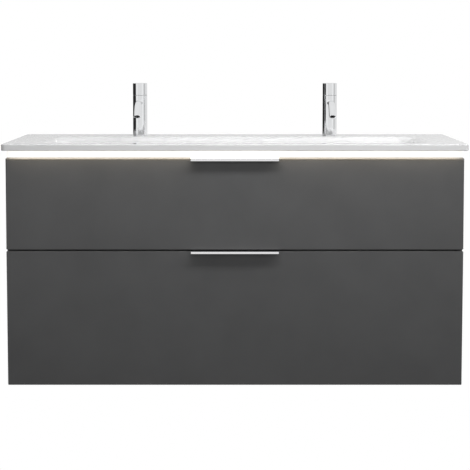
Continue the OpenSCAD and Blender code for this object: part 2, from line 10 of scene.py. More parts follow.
import bmesh
import bpy
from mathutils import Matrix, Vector

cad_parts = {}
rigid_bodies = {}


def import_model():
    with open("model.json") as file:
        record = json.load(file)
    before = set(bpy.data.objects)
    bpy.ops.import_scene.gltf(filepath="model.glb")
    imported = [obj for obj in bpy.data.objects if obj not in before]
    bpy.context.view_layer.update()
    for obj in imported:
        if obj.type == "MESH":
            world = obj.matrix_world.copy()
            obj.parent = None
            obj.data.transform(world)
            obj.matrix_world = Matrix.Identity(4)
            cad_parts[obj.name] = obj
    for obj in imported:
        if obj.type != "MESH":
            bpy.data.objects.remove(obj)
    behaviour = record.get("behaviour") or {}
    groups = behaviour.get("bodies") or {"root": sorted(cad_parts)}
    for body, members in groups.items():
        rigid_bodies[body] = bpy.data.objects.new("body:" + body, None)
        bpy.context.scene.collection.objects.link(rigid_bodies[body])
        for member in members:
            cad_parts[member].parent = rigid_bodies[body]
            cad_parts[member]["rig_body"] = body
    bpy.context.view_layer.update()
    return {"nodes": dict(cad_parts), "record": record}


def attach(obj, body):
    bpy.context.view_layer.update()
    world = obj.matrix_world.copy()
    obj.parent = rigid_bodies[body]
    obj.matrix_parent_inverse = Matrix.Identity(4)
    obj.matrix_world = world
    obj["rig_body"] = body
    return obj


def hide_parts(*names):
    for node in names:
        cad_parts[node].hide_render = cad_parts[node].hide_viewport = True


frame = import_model()
NODES = frame["nodes"]
MM = 0.001
LIGHT_LOW, LIGHT_HIGH = 606, 627
scene = bpy.context.scene

# ---------------------------------------------------------------- materials

RANGE_KEYS = ("From Min", "From Max", "To Min", "To Max")


class Shader:
    """A material with one Principled shader and helpers to feed its sockets."""

    def __init__(self, name):
        self.material = bpy.data.materials.new(name)
        self.material.use_nodes = True
        self.tree = self.material.node_tree
        self.bsdf = self.tree.nodes["Principled BSDF"]
        self.coords = self.node("ShaderNodeTexCoord").outputs["Object"]

    def node(self, kind, **settings):
        made = self.tree.nodes.new(kind)
        for key, value in settings.items():
            setattr(made, key, value)
        return made

    def link(self, source, target):
        self.tree.links.new(source, target)

    def set(self, **values):
        """Constants, written on the shader's own sockets: Base_Color=(...), Roughness=0.4"""
        for key, value in values.items():
            self.bsdf.inputs[key.replace("_", " ")].default_value = value
        return self

    def mapped(self, scale):
        mapping = self.node("ShaderNodeMapping")
        mapping.inputs["Scale"].default_value = scale
        self.link(self.coords, mapping.inputs["Vector"])
        return mapping.outputs["Vector"]

    def noise(self, scale, detail=3.0, stretch=(1, 1, 1), roughness=0.5):
        """A noise value: scale is in waves per metre."""
        made = self.node("ShaderNodeTexNoise")
        made.inputs["Scale"].default_value = scale
        made.inputs["Detail"].default_value = detail
        made.inputs["Roughness"].default_value = roughness
        self.link(self.mapped(stretch), made.inputs["Vector"])
        return made.outputs["Fac"]

    def ranged(self, value, low, high, from_low=0.3, from_high=0.7):
        """The value, moved from the range between from_low and from_high to that between low and high."""
        made = self.node("ShaderNodeMapRange")
        for key, number in zip(RANGE_KEYS, (from_low, from_high, low, high)):
            made.inputs[key].default_value = number
        self.link(value, made.inputs["Value"])
        return made.outputs["Result"]

    def blended(self, value, dark, light, from_low=0.3, from_high=0.7):
        """A colour between dark and light, by value."""
        ramp = self.node("ShaderNodeValToRGB")
        ramp.color_ramp.elements[0].position = from_low
        ramp.color_ramp.elements[1].position = from_high
        ramp.color_ramp.elements[0].color = (*dark, 1)
        ramp.color_ramp.elements[1].color = (*light, 1)
        self.link(value, ramp.inputs["Fac"])
        return ramp.outputs["Color"]

    def colour(self, socket):
        self.link(socket, self.bsdf.inputs["Base Color"])
        return self

    def rough(self, socket):
        self.link(socket, self.bsdf.inputs["Roughness"])
        return self

    def bump(self, height, distance):
        """Adds a bump of that depth in metres on top of any bump already there."""
        made = self.node("ShaderNodeBump")
        made.inputs["Distance"].default_value = distance
        made.inputs["Strength"].default_value = 1.0
        self.link(height, made.inputs["Height"])
        below = self.bsdf.inputs["Normal"]
        if below.is_linked:
            self.link(below.links[0].from_socket, made.inputs["Normal"])
        self.link(made.outputs["Normal"], below)
        return self


def tinted(colour, factor):
    return tuple(channel * factor for channel in colour)


def lacquer():
    """Matt anthracite lacquer: faint orange peel and slow changes in sheen."""
    base = (0.086, 0.0865, 0.0875)
    s = Shader("anthracite_lacquer")
    s.colour(s.blended(s.noise(9, 4), tinted(base, 0.93), tinted(base, 1.06)))
    s.rough(s.ranged(s.noise(26, 5), 0.44, 0.54))
    s.set(Specular_IOR_Level=0.5)
    s.bump(s.noise(420, 2), 0.00003)
    return s.bump(s.noise(2600, 1), 0.000008).material


def decor(name, base, grain):
    """Melamine decor on board: a pressed fine grain that runs along the board."""
    s = Shader(name)
    fibres = s.noise(60, 6, (1, grain, grain), 0.65)
    s.colour(s.blended(fibres, tinted(base, 0.88), tinted(base, 1.10)))
    s.rough(s.ranged(s.noise(300, 4), 0.48, 0.62))
    s.bump(fibres, 0.00004)
    return s.bump(s.noise(1800, 2), 0.00002).material


def linen_decor():
    """The drawer interiors: a printed linen weave of crossing threads."""
    base = (0.105, 0.107, 0.112)
    s = Shader("drawer_linen")
    warp = s.noise(500, 2, (1, 0.06, 1))
    weft = s.noise(500, 2, (0.06, 1, 1))
    both = s.node("ShaderNodeMath", operation="ADD")
    s.link(warp, both.inputs[0])
    s.link(weft, both.inputs[1])
    threads = both.outputs["Value"]
    s.colour(s.blended(threads, tinted(base, 0.78), tinted(base, 1.22), 0.75, 1.25))
    s.rough(s.ranged(threads, 0.5, 0.66, 0.8, 1.2))
    return s.bump(threads, 0.00005).material


def polished_chrome():
    s = Shader("polished_chrome").set(Metallic=1.0, Base_Color=(0.90, 0.91, 0.92, 1))
    s.rough(s.ranged(s.noise(55, 6), 0.035, 0.075))
    return s.bump(s.noise(30, 2), 0.00002).material


def satin_aluminium():
    """Anodised aluminium, brushed along its length."""
    s = Shader("satin_aluminium").set(Metallic=1.0)
    brushed = s.noise(2400, 3, (0.012, 1, 1), 0.6)
    s.colour(s.blended(brushed, (0.84, 0.84, 0.85), (0.95, 0.95, 0.96)))
    s.rough(s.ranged(brushed, 0.08, 0.14))
    return s.bump(brushed, 0.000012).material


def galvanised():
    """Zinc-plated sheet: large soft spangles with fine rolling lines."""
    s = Shader("galvanised_steel").set(Metallic=0.95)
    cells = s.node("ShaderNodeTexVoronoi")
    cells.inputs["Scale"].default_value = 140
    s.link(s.mapped((1, 0.6, 1)), cells.inputs["Vector"])
    s.colour(s.blended(cells.outputs["Distance"], (0.44, 0.46, 0.48), (0.62, 0.64, 0.66), 0.1, 0.8))
    s.rough(s.ranged(s.noise(700, 3, (1, 0.03, 1)), 0.32, 0.48))
    return s.bump(s.noise(900, 2, (1, 0.05, 1)), 0.00001).material


def gel_coat():
    """The basin's gloss white gel coat, with a slight waviness in the gloss."""
    s = Shader("white_gel_coat")
    s.colour(s.blended(s.noise(5, 3), (0.675, 0.675, 0.68), (0.69, 0.69, 0.695)))
    s.rough(s.ranged(s.noise(40, 4), 0.13, 0.19))
    s.set(Coat_Weight=0.35, Coat_Roughness=0.06, Specular_IOR_Level=0.5)
    return s.bump(s.noise(14, 2), 0.000003).material


def lit_opal():
    """The opal light strip, lit from inside by evenly spaced diodes and fading at its lower edge."""
    s = Shader("lit_opal").set(Base_Color=(0.12, 0.12, 0.115, 1), Roughness=0.45)
    waves = s.node("ShaderNodeTexWave", bands_direction="X")
    waves.inputs["Scale"].default_value = 19
    s.link(s.mapped((1, 1, 1)), waves.inputs["Vector"])
    glow = s.blended(waves.outputs["Fac"], (0.88, 0.87, 0.85), (0.92, 0.91, 0.89), 0.0, 1.0)
    height = s.node("ShaderNodeSeparateXYZ")
    s.link(s.mapped((1, 1, 1)), height.inputs["Vector"])
    dimmed = s.node("ShaderNodeVectorMath", operation="SCALE")
    s.link(glow, dimmed.inputs[0])
    edge = s.ranged(height.outputs["Z"], 0.3, 1.0, LIGHT_LOW * MM, (LIGHT_LOW + 2.2) * MM)
    s.link(edge, dimmed.inputs["Scale"])
    s.link(dimmed.outputs["Vector"], s.bsdf.inputs["Emission Color"])
    s.set(Emission_Strength=1.0)
    return s.bump(s.noise(900, 2), 0.00002).material


def moulded(name, base, rough_low, rough_high, grain=900, specular=0.5):
    """Injection-moulded plastic with a fine spark-eroded grain."""
    s = Shader(name)
    s.colour(s.blended(s.noise(grain / 6, 3), tinted(base, 0.94), tinted(base, 1.05)))
    s.rough(s.ranged(s.noise(grain, 3), rough_low, rough_high))
    s.set(Specular_IOR_Level=specular)
    return s.bump(s.noise(grain, 2), 0.00003).material


def circuit_board():
    """White board with copper-toned solder pads in a row."""
    s = Shader("circuit_board")
    pads = s.node("ShaderNodeTexBrick")
    pads.inputs["Scale"].default_value = 60
    pads.inputs["Color1"].default_value = (0.84, 0.84, 0.80, 1)
    pads.inputs["Color2"].default_value = (0.80, 0.80, 0.76, 1)
    pads.inputs["Mortar"].default_value = (0.55, 0.38, 0.20, 1)
    s.link(s.mapped((1, 1, 1)), pads.inputs["Vector"])
    s.colour(pads.outputs["Color"])
    s.rough(s.ranged(s.noise(500, 2), 0.3, 0.45))
    return s.material


MATERIALS = {
    "lacquer": lacquer(),
    "carcass": decor("carcass_decor", (0.052, 0.0525, 0.054), 14),
    "drawer_grey": linen_decor(),
    "galvanised": galvanised(),
    "handle": satin_aluminium(),
    "chrome": polished_chrome(),
    "basin": gel_coat(),
    "diffuser": lit_opal(),
    "strip": circuit_board(),
    "white_plastic": moulded("white_plastic", (0.74, 0.74, 0.73), 0.32, 0.46),
    "rubber": moulded("black_rubber", (0.022, 0.022, 0.022), 0.65, 0.85, 1400),
    # The aerator's black plastic, made near black and dull: partly its own colour, partly painted shade for
    # the spout's bore.
    "dark_bore": moulded("black_insert_painted_bore_shade", (0.005, 0.005, 0.005), 0.5, 0.65, specular=0.15),
}
SLOT_OF = {row["node"]: row["material_slot"] for row in frame["record"]["subparts"]}

# ---------------------------------------------------------------- mesh helpers
# The shape helpers below take millimetres.

UP, BACK = Vector((0, 0, 1)), Vector((0, 1, 0))


def mesh_object(name, verts, faces, slot, sharp_degrees=35):
    """A mesh with outward faces, smooth except along edges sharper than the angle."""
    mesh = bpy.data.meshes.new(name)
    mesh.from_pydata([tuple(c * MM for c in v) for v in verts], [], faces)
    work = bmesh.new()
    work.from_mesh(mesh)
    bmesh.ops.remove_doubles(work, verts=work.verts, dist=1e-6)
    bmesh.ops.recalc_face_normals(work, faces=work.faces)
    work.to_mesh(mesh)
    work.free()
    mesh.shade_smooth()
    mesh.set_sharp_from_angle(angle=math.radians(sharp_degrees))
    mesh.materials.append(MATERIALS[slot])
    made = bpy.data.objects.new(name, mesh)
    scene.collection.objects.link(made)
    return made


def stand_for(piece, node):
    """The piece replaces the CAD node and rides on its body. Its large flat faces shade flat."""
    even = piece.modifiers.new("even_normals", "WEIGHTED_NORMAL")
    even.keep_sharp = True
    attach(piece, NODES[node]["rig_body"])
    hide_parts(node)
    return piece


def joined(name, pieces):
    """One object from several."""
    with bpy.context.temp_override(active_object=pieces[0], selected_editable_objects=pieces):
        bpy.ops.object.join()
    pieces[0].name = name
    return pieces[0]


def loft(rings, closed=False):
    """(vertices, faces) of a skin over rings of equal length: closed joins the last ring to the first,
    otherwise both ends get a flat face."""
    count = len(rings[0])
    verts = [v for ring in rings for v in ring]
    spans = len(rings) if closed else len(rings) - 1
    faces = []
    for i in range(spans):
        a, b = i * count, ((i + 1) % len(rings)) * count
        faces += [(a + j, a + (j + 1) % count, b + (j + 1) % count, b + j) for j in range(count)]
    if not closed:
        faces += [tuple(range(count)), tuple(range((len(rings) - 1) * count, len(rings) * count))]
    return verts, faces


def arc(centre, radius, start, end, steps):
    """Points on an arc in a plane, angles in degrees."""
    angles = [math.radians(start + (end - start) * i / steps) for i in range(steps + 1)]
    return [(centre[0] + radius * math.cos(a), centre[1] + radius * math.sin(a)) for a in angles]


def filleted(corners, steps=4):
    """A closed outline from corners (x, y) or (x, y, radius): those with a radius become arcs."""
    outline = []
    for i, corner in enumerate(corners):
        here = Vector(corner[:2])
        radius = corner[2] if len(corner) > 2 else 0
        if not radius:
            outline.append(here)
            continue
        back = (Vector(corners[i - 1][:2]) - here).normalized()
        ahead = (Vector(corners[(i + 1) % len(corners)][:2]) - here).normalized()
        half = back.angle(ahead) / 2
        centre = here + (back + ahead).normalized() * radius / math.sin(half)
        first = here + back * radius / math.tan(half) - centre
        last = here + ahead * radius / math.tan(half) - centre
        for k in range(steps + 1):
            spoke = first.lerp(last, k / steps).normalized()
            outline.append(centre + spoke * radius)
    return outline


def lathe(
    name, outline, centre, slot, axis=UP, segments=96, sharp_degrees=35, ribs=0, rib_depth=0, rib_from=0
):
    """Turns a closed outline of (radius, height) about an axis through centre. Ribs are shallow flutes cut
    into everything further out than rib_from."""
    turn = UP.rotation_difference(axis).to_matrix()
    rings = []
    for radius, height in outline:
        ring = []
        for k in range(segments):
            angle = 2 * math.pi * k / segments
            r = radius
            if ribs and radius > rib_from:
                r -= rib_depth * (0.5 + 0.5 * math.cos(ribs * angle))
            ring.append(Vector(centre) + turn @ Vector((r * math.cos(angle), r * math.sin(angle), height)))
        rings.append(ring)
    verts, faces = loft(rings, closed=True)
    return mesh_object(name, verts, faces, slot, sharp_degrees)


def along_x(name, outline, x_from, x_to, slot, edge):
    """A bar with a (y, z) outline along X, its ends softened by edge."""
    rings = [[Vector((x, y, z)) for y, z in outline] for x in (x_from, x_to)]
    bar = mesh_object(name, *loft(rings), slot)
    round_edges(bar, edge)
    return bar


def rounded_rect(half_x, half_y, radius, z, y_middle, corner_steps=14, side_steps=5):
    """A level ring of points round a rectangle with round corners."""
    points = []
    for sx, sy, start in ((1, 1, 0), (-1, 1, 90), (-1, -1, 180), (1, -1, 270)):
        centre = (sx * (half_x - radius), sy * (half_y - radius))
        points += arc(centre, radius, start, start + 90, corner_steps)
    ring = []
    for i, point in enumerate(points):
        ring.append(Vector((*point, 0)))
        if (i + 1) % (corner_steps + 1) == 0:
            after = Vector((*points[(i + 1) % len(points)], 0))
            ring += [ring[-1].lerp(after, k / side_steps) for k in range(1, side_steps)]
    return [point + Vector((0, y_middle, z)) for point in ring]


def round_edges(piece, width):
    """Rounds a piece's sharp edges with a modifier, so that its own mesh stays as it is."""
    bevel = piece.modifiers.new("soft_edges", "BEVEL")
    bevel.width = width * MM
    bevel.segments = 2
    bevel.limit_method = "ANGLE"
    bevel.angle_limit = math.radians(40)
    bevel.harden_normals = True


# ---------------------------------------------------------------- CAD nodes that keep their shape

for name, piece in NODES.items():
    piece.data.materials.clear()
    piece.data.materials.append(MATERIALS[SLOT_OF[name]])

SOFT_EDGES = {"carcass": 0.7, "drawer_grey": 0.7, "galvanised": 0.4, "white_plastic": 1.2}
for name, piece in NODES.items():
    if SLOT_OF[name] in SOFT_EDGES:
        weld = piece.modifiers.new("weld", "WELD")
        weld.merge_threshold = 0.01 * MM
        round_edges(piece, SOFT_EDGES[SLOT_OF[name]])

# ---------------------------------------------------------------- basin

TOP_Z, SLAB_Z = 644, 627
SLAB_HALF_X, SLAB_HALF_Y = 615, 245
SLAB_CORNER = 12
BOWL_HALF_X, BOWL_HALF_Y = 520, 157.5
BOWL_Y = -282.5
BOWL_CORNER = 60
RIM_R, WALL_LEAN, FLOOR_R = 16, 8, 45
SHELL = 12
FLOOR_Z = 549
FLOOR_FALL = 2
DRAIN_R = 24


def bowl_ring(inset, z):
    return rounded_rect(BOWL_HALF_X - inset, BOWL_HALF_Y - inset, BOWL_CORNER - inset / 2, z, BOWL_Y)


def slab_ring(inset, z):
    return rounded_rect(SLAB_HALF_X - inset, SLAB_HALF_Y - inset, SLAB_CORNER - inset / 2, z, -SLAB_HALF_Y)


def drain_ring(radius, z):
    return rounded_rect(radius, radius, radius - 0.01, z, BOWL_Y)


def basin_shell():
    """The slab with soft edges and the trough cast in it, whose floor falls to the drain."""
    lower_edge, upper_edge = 1.5, 3.0
    floor_inset, arc_z = RIM_R + WALL_LEAN + FLOOR_R, FLOOR_Z + FLOOR_R
    down = [math.radians(a) for a in range(0, 91, 9)]
    up = down[::-1]
    outer_r = FLOOR_R + SHELL
    rings = [drain_ring(DRAIN_R, FLOOR_Z - SHELL)]
    rings += [bowl_ring(floor_inset - outer_r * math.cos(a), arc_z - outer_r * math.sin(a)) for a in up]
    rings += [bowl_ring(RIM_R - SHELL, SLAB_Z)]
    rings += [slab_ring(lower_edge * (1 - math.cos(a)), SLAB_Z + lower_edge * (1 - math.sin(a))) for a in up]
    rings += [slab_ring(upper_edge * (1 - math.cos(a)), TOP_Z - upper_edge * (1 - math.sin(a))) for a in down]
    rings += [bowl_ring(RIM_R * math.cos(a), TOP_Z - RIM_R * (1 - math.sin(a))) for a in up]
    inside_z = arc_z + FLOOR_FALL
    rings += [bowl_ring(floor_inset - FLOOR_R * math.cos(a), inside_z - FLOOR_R * math.sin(a)) for a in down]
    rings += [drain_ring(DRAIN_R + 6, FLOOR_Z), drain_ring(DRAIN_R, FLOOR_Z - 1)]
    return mesh_object("basin_shell", *loft(rings, closed=True), "basin", sharp_degrees=30)


stand_for(basin_shell(), "basin")

# ---------------------------------------------------------------- waste and trap
# All of it turns about the drain's axis, or about the outlet's, which runs back to the wall.

SKIN = 0.05  # left between a piece and the one inside it
TRAP_WALL = 3
PLUG_Z, PLUG_R, STEM_R, STEM_END = 552, 30, 4, 508
WASTE_R, WASTE_END = 22.5, 505
FLANGE_R, SEAL_T, NUT_H = 30, 3, 12
SEAL_Z = FLOOR_Z - SHELL - SEAL_T
PIPE_R, PIPE_BORE, PIPE_END = 16, 14.5, 420
CUP_R, CUP_Z, CUP_TOP = 30, 381, 440
CAN_R, CAN_END, TRAP_TOP = 27, 432, 482
OUTLET_R, OUTLET_BORE, OUTLET_Z = 15.5, 14, 461
BOSS_R, BOSS_FROM, BOSS_TO = 19, 22, 38


def turned(name, node, outline, slot, centre=(0, BOWL_Y, 0), **more):
    """A lathed piece that replaces its CAD node, by default about the drain's axis."""
    return stand_for(lathe(name, filleted(outline), centre, slot, **more), node)


turned(
    "plug_domed", "waste_plug",
    [(0, STEM_END), (STEM_R, STEM_END, 1), (STEM_R, PLUG_Z), (PLUG_R - 1, PLUG_Z, 0.5),
     (PLUG_R, PLUG_Z + 1, 0.6), (PLUG_R - 0.6, PLUG_Z + 2.6, 2), (PLUG_R - 6, PLUG_Z + 3.5, 6),
     (0, PLUG_Z + 3.5)],
    "chrome", sharp_degrees=50,
)
turned(
    "waste_seal_ring", "waste_seal",
    [(WASTE_R + SKIN, SEAL_Z), (FLANGE_R, SEAL_Z, 0.8), (FLANGE_R, SEAL_Z + SEAL_T, 0.8),
     (WASTE_R + SKIN, SEAL_Z + SEAL_T)],
    "rubber",
)
turned(
    "waste_nut_ribbed", "waste_nut",
    [(WASTE_R + SKIN, SEAL_Z - NUT_H), (FLANGE_R - 1, SEAL_Z - NUT_H, 1), (FLANGE_R, SEAL_Z - NUT_H + 2, 1),
     (FLANGE_R, SEAL_Z, 0.8), (WASTE_R + SKIN, SEAL_Z)],
    "white_plastic", segments=288, ribs=24, rib_depth=1.6, rib_from=27,
)
turned(
    "trap_inlet_tube", "trap_inlet_pipe",
    [(PIPE_BORE, PIPE_END, 0.4), (PIPE_R, PIPE_END, 0.4), (PIPE_R, WASTE_END - 0.5, 0.4),
     (PIPE_BORE, WASTE_END - 0.5, 0.4)],
    "chrome",
)
turned(
    "trap_cup_turned", "trap_cup",
    [(0, CUP_Z), (CUP_R - 6, CUP_Z, 9), (CUP_R, CUP_Z + 8, 8), (CUP_R, CUP_TOP - 4), (CUP_R, CUP_TOP, 1),
     (CAN_R + 0.1, CUP_TOP, 0.5), (CAN_R + 0.1, CUP_Z + 9, 6), (CUP_R - 10, CUP_Z + TRAP_WALL, 4),
     (0, CUP_Z + TRAP_WALL)],
    "chrome", segments=144,
)


def trap_head_piece():
    """The upper half of the trap with the boss that its outlet pipe leaves through."""
    can = lathe(
        "trap_head_can",
        filleted([(0, TRAP_TOP), (0, TRAP_TOP - TRAP_WALL), (CAN_R - TRAP_WALL, TRAP_TOP - TRAP_WALL, 1),
                  (CAN_R - TRAP_WALL, CAN_END, 0.4), (CAN_R, CAN_END, 0.4), (CAN_R, TRAP_TOP - 4, 4),
                  (CAN_R - TRAP_WALL, TRAP_TOP, 3)]),
        (0, BOWL_Y, 0), "chrome", sharp_degrees=50,
    )
    boss = lathe(
        "trap_boss",
        filleted([(OUTLET_R + SKIN, BOSS_FROM), (BOSS_R, BOSS_FROM), (BOSS_R, BOSS_TO, 0.5),
                  (OUTLET_R + SKIN, BOSS_TO, 0.5)]),
        (0, BOWL_Y, OUTLET_Z), "chrome", axis=BACK,
    )
    return joined("trap_head_turned", [can, boss])


def union_nut(name, inner, outer, low, high, centre, axis=UP):
    """A union nut with finger ribs and a plain collar at its far end."""
    collar = high - 3.5
    return lathe(
        name,
        filleted([(inner, low, 0.3), (outer - 1.2, low, 0.6), (outer, low + 2, 0.5), (outer, collar, 0.5),
                  (outer - 2.2, collar + 0.8, 0.5), (outer - 3, high, 0.8), (inner, high, 0.3)]),
        centre, "chrome", axis=axis, segments=288, sharp_degrees=50,
        ribs=18, rib_depth=1.1, rib_from=outer - 1.5,
    )


stand_for(trap_head_piece(), "trap_head")
stand_for(
    joined("trap_union_nuts", [
        union_nut("coupling_nut", PIPE_R + SKIN, 27, WASTE_END - 8, WASTE_END + 6, (0, BOWL_Y, 0)),
        union_nut("head_nut", PIPE_R + SKIN, 24, TRAP_TOP, TRAP_TOP + 12, (0, BOWL_Y, 0)),
        union_nut("outlet_nut", OUTLET_R + SKIN, 23, 30, 50, (0, BOWL_Y, OUTLET_Z), axis=BACK),
    ]),
    "trap_nuts",
)
turned(
    "trap_outlet_tube", "trap_outlet_pipe",
    [(OUTLET_BORE, 32, 0.3), (OUTLET_R, 32, 0.3), (OUTLET_R, 50), (PIPE_R, 50), (PIPE_R, -BOWL_Y, 0.4),
     (OUTLET_BORE, -BOWL_Y, 0.4)],
    "chrome", centre=(0, BOWL_Y, OUTLET_Z), axis=BACK,
)

# ---------------------------------------------------------------- taps

TAP_X, TAP_Y = 275, -73
TAP_R = 20.5
PIVOT_Z, TAP_TOP = 776, 796
SEAT_R = 25.4
SPOUT_Z, SPOUT_R, SPOUT_BORE = 739, 9.5, 8.1
SPOUT_STRAIGHT, BEND_R, BEND_ANGLE = 69.4, 70, 60
SHANK_R, SHANK_END, SHANK_TOP = 14, 585, 652.5
CORE_R, CORE_FLOOR = 15.1, 702
CAP_CORE_R, CAP_CORE_TOP, CAP_GAP = 13.5, 784, 0.6
COLUMN_TOP, CAP_EDGE = 760.8, 763


def dish(sphere, inner, outer, steps=8):
    """Points (r, z) between two radii on the underside of a sphere about the cap's pivot."""
    radii = [inner + (outer - inner) * i / steps for i in range(steps + 1)]
    return [(r, PIVOT_Z - math.sqrt(sphere * sphere - r * r)) for r in radii]


def tap_column(x):
    """The column: a straight wall and a dished seat for the cap."""
    seat = dish(SEAT_R, CORE_R, TAP_R - 0.1)
    foot, bore = TOP_Z + 0.5, SHANK_R + SKIN
    top = [(TAP_R - 0.1, COLUMN_TOP), (TAP_R, COLUMN_TOP - 0.6, 0.4)]
    wall = filleted(top + [(TAP_R, foot, 0.3), (bore, foot)])
    outline = [(bore, CORE_FLOOR), (CORE_R, CORE_FLOOR)] + seat + wall
    return lathe("tap_column", outline, (x, TAP_Y, 0), "chrome", sharp_degrees=30)


def tap_cap(x):
    """The cap: flat top with a fine rounded edge, straight wall and a rounded underside over the seat."""
    under = dish(SEAT_R - CAP_GAP, CAP_CORE_R, TAP_R)
    top = filleted([(TAP_R, CAP_EDGE), (TAP_R, TAP_TOP, 0.9), (0, TAP_TOP)])
    outline = [(0, CAP_CORE_TOP), (CAP_CORE_R, CAP_CORE_TOP)] + under + top
    return lathe("tap_cap", outline, (x, TAP_Y, 0), "chrome", sharp_degrees=30)


def bend_place(degrees):
    """(y, z, tilt) on the spout's bend."""
    tilt = math.radians(degrees)
    return -SPOUT_STRAIGHT - BEND_R * math.sin(tilt), SPOUT_Z - BEND_R * (1 - math.cos(tilt)), tilt


def spout_path():
    """(y, z, tilt) along the spout: straight out, then round the bend to the outlet."""
    start = TAP_R - 3.5
    places = [(-start - (SPOUT_STRAIGHT - start) * k / 4, SPOUT_Z, 0) for k in range(4)]
    return places + [bend_place(BEND_ANGLE * k / 24) for k in range(25)]


def spout_ring(x, place, radius, back=0.0, segments=64):
    """A circle square to the spout's path, moved back along it."""
    y, z, tilt = place
    ahead = Vector((0, -math.cos(tilt), -math.sin(tilt)))
    above = Vector((0, -math.sin(tilt), math.cos(tilt)))
    middle = Vector((x, TAP_Y + y, z)) - ahead * back
    ring = []
    for k in range(segments):
        angle = 2 * math.pi * k / segments
        ring.append(middle + Vector((radius * math.cos(angle), 0, 0)) + above * radius * math.sin(angle))
    return ring


def tap_spout(x):
    """The spout: a bent tube whose mouth is rounded from the outside to the bore."""
    path = spout_path()
    lip = (SPOUT_R - SPOUT_BORE) / 2
    rings = [spout_ring(x, place, SPOUT_R) for place in path[:-1]]
    for a in range(0, 181, 30):
        turn = math.radians(a)
        radius, back = SPOUT_BORE + lip * (1 + math.cos(turn)), lip * (1 - math.sin(turn))
        rings.append(spout_ring(x, path[-1], radius, back))
    rings += [spout_ring(x, place, SPOUT_BORE) for place in reversed(path[:-1])]
    return mesh_object("tap_spout", *loft(rings, closed=True), "chrome", sharp_degrees=50)


def aerator(x):
    """The insert that fills the mouth, its face cut by fine rings: black plastic, made near black and dull as
    painted shade for the spout's bore behind it.
    """
    y, z, tilt = bend_place(BEND_ANGLE)
    outwards = Vector((0, -math.cos(tilt), -math.sin(tilt)))
    rim, end, face, groove, ridge = SPOUT_BORE - SKIN, -5, -0.3, -1.1, -0.7
    outline = filleted([(0, end), (rim, end), (rim, face, 0.3), (rim - 1.2, face, 0.3), (rim - 1.2, groove)])
    for k in range(3):
        r = rim - 2.0 - 1.7 * k
        outline += [(r, groove), (r - 0.1, ridge), (r - 0.9, ridge), (r - 1.0, groove)]
    outline.append((0, groove))
    return lathe("aerator_ringed", outline, (x, TAP_Y + y, z), "dark_bore", axis=outwards)


def threaded_shank(x):
    """The fixing shank under the column, with a rolled thread."""
    root, pitch = SHANK_R - 0.8, 2
    outline = [(0, SHANK_TOP), (0, SHANK_END), (root, SHANK_END)]
    for turn in range(20):
        z = SHANK_END + 1 + turn * pitch
        outline += [(root, z), (SHANK_R, z + 0.7), (SHANK_R, z + 1.1)]
    outline += [(SHANK_R, SLAB_Z), (SHANK_R, SHANK_TOP)]
    return lathe("tap_shank", outline, (x, TAP_Y, 0), "galvanised", sharp_degrees=20)


TAP_PARTS = {
    "body": tap_column, "cap": tap_cap, "spout": tap_spout, "aerator": aerator, "shank": threaded_shank,
}
for side, sign in (("left", -1), ("right", 1)):
    for part, build in TAP_PARTS.items():
        made = build(sign * TAP_X)
        made.name = f"{side}_{made.name}"
        stand_for(made, f"{side}_tap_{part}")

# ---------------------------------------------------------------- fronts, handles and light

FACE_Y, FRONT_BACK_Y, FRONT_HALF = -475, -457, 605
LOWER_TOP, UPPER_LOW, UPPER_TOP = 359.5, 364, 606


def drawer_front(name, low, high, low_round, high_round):
    """A lacquered board: its edges are rounded to the face, from low_round at the bottom to high_round at the
    top, with a finer round to the back."""
    back_round, corner = 0.8, 2.5
    half, middle = (high - low) / 2, (high + low) / 2
    outer, inner = (rounded_rect(FRONT_HALF - i, half - i, corner - i / 2, 0, 0, 5, 2) for i in (0, 1))

    def ring(sideways, forwards, to_back):
        """The outline drawn in and moved off the back or the face by shares of the rounding."""
        points = []
        for p, q in zip(outer, inner):
            face_round = low_round + (high_round - low_round) * (p.y + half) / (high - low)
            radius = back_round if to_back else face_round
            flat = p.lerp(q, radius * (1 - sideways))
            y = FRONT_BACK_Y - radius * (1 - forwards) if to_back else FACE_Y + radius * (1 - forwards)
            points.append(Vector((flat.x, y, middle + flat.y)))
        return points

    quarter = [math.radians(a) for a in range(0, 91, 15)]
    rings = [ring(math.sin(a), math.cos(a), True) for a in quarter]
    rings += [ring(math.cos(a), math.sin(a), False) for a in quarter]
    return mesh_object(name, *loft(rings), "lacquer", sharp_degrees=30)


HANDLE_HALF, SHEET, FLANGE = 116, 1.5, 36
LIP_Y, FLANGE_BACK_Y = -495, -456.9


def pull(name, top, lip):
    """An edge pull folded from sheet: a lip, a plate over the front's top edge and a flange behind it."""
    outline = filleted([
        (LIP_Y, top - lip, 0.5), (LIP_Y, top + SHEET, 2.0),
        (FLANGE_BACK_Y, top + SHEET, 1.9), (FLANGE_BACK_Y, top - FLANGE, 0.5),
        (FLANGE_BACK_Y - SHEET, top - FLANGE, 0.5), (FLANGE_BACK_Y - SHEET, top, 0.4),
        (LIP_Y + SHEET, top, 0.5), (LIP_Y + SHEET, top - lip, 0.5),
    ])
    return along_x(name, outline, -HANDLE_HALF, HANDLE_HALF, "handle", 0.35)


stand_for(drawer_front("upper_front_board", UPPER_LOW, UPPER_TOP, 0.7, 4.2), "upper_front")
stand_for(drawer_front("lower_front_board", 0, LOWER_TOP, 1.5, 0.8), "lower_front")
stand_for(pull("upper_pull", UPPER_TOP, 6.3), "upper_handle")
stand_for(pull("lower_pull", LOWER_TOP, 5.0), "lower_handle")


def light_cover():
    """The opal cover: one strip bent round the front corners of the cabinet."""
    outer, thick, bend = FRONT_HALF, 3, 5
    front, back = -455, -20
    path = filleted([(outer, back), (outer, front, bend), (-outer, front, bend), (-outer, back),
                     (-outer + thick, back), (-outer + thick, front + thick, bend - thick),
                     (outer - thick, front + thick, bend - thick), (outer - thick, back)], 6)
    rings = [[Vector((x, y, z)) for x, y in path] for z in (LIGHT_LOW, LIGHT_HIGH)]
    return mesh_object("light_cover", *loft(rings), "diffuser")


stand_for(light_cover(), "light_diffuser")

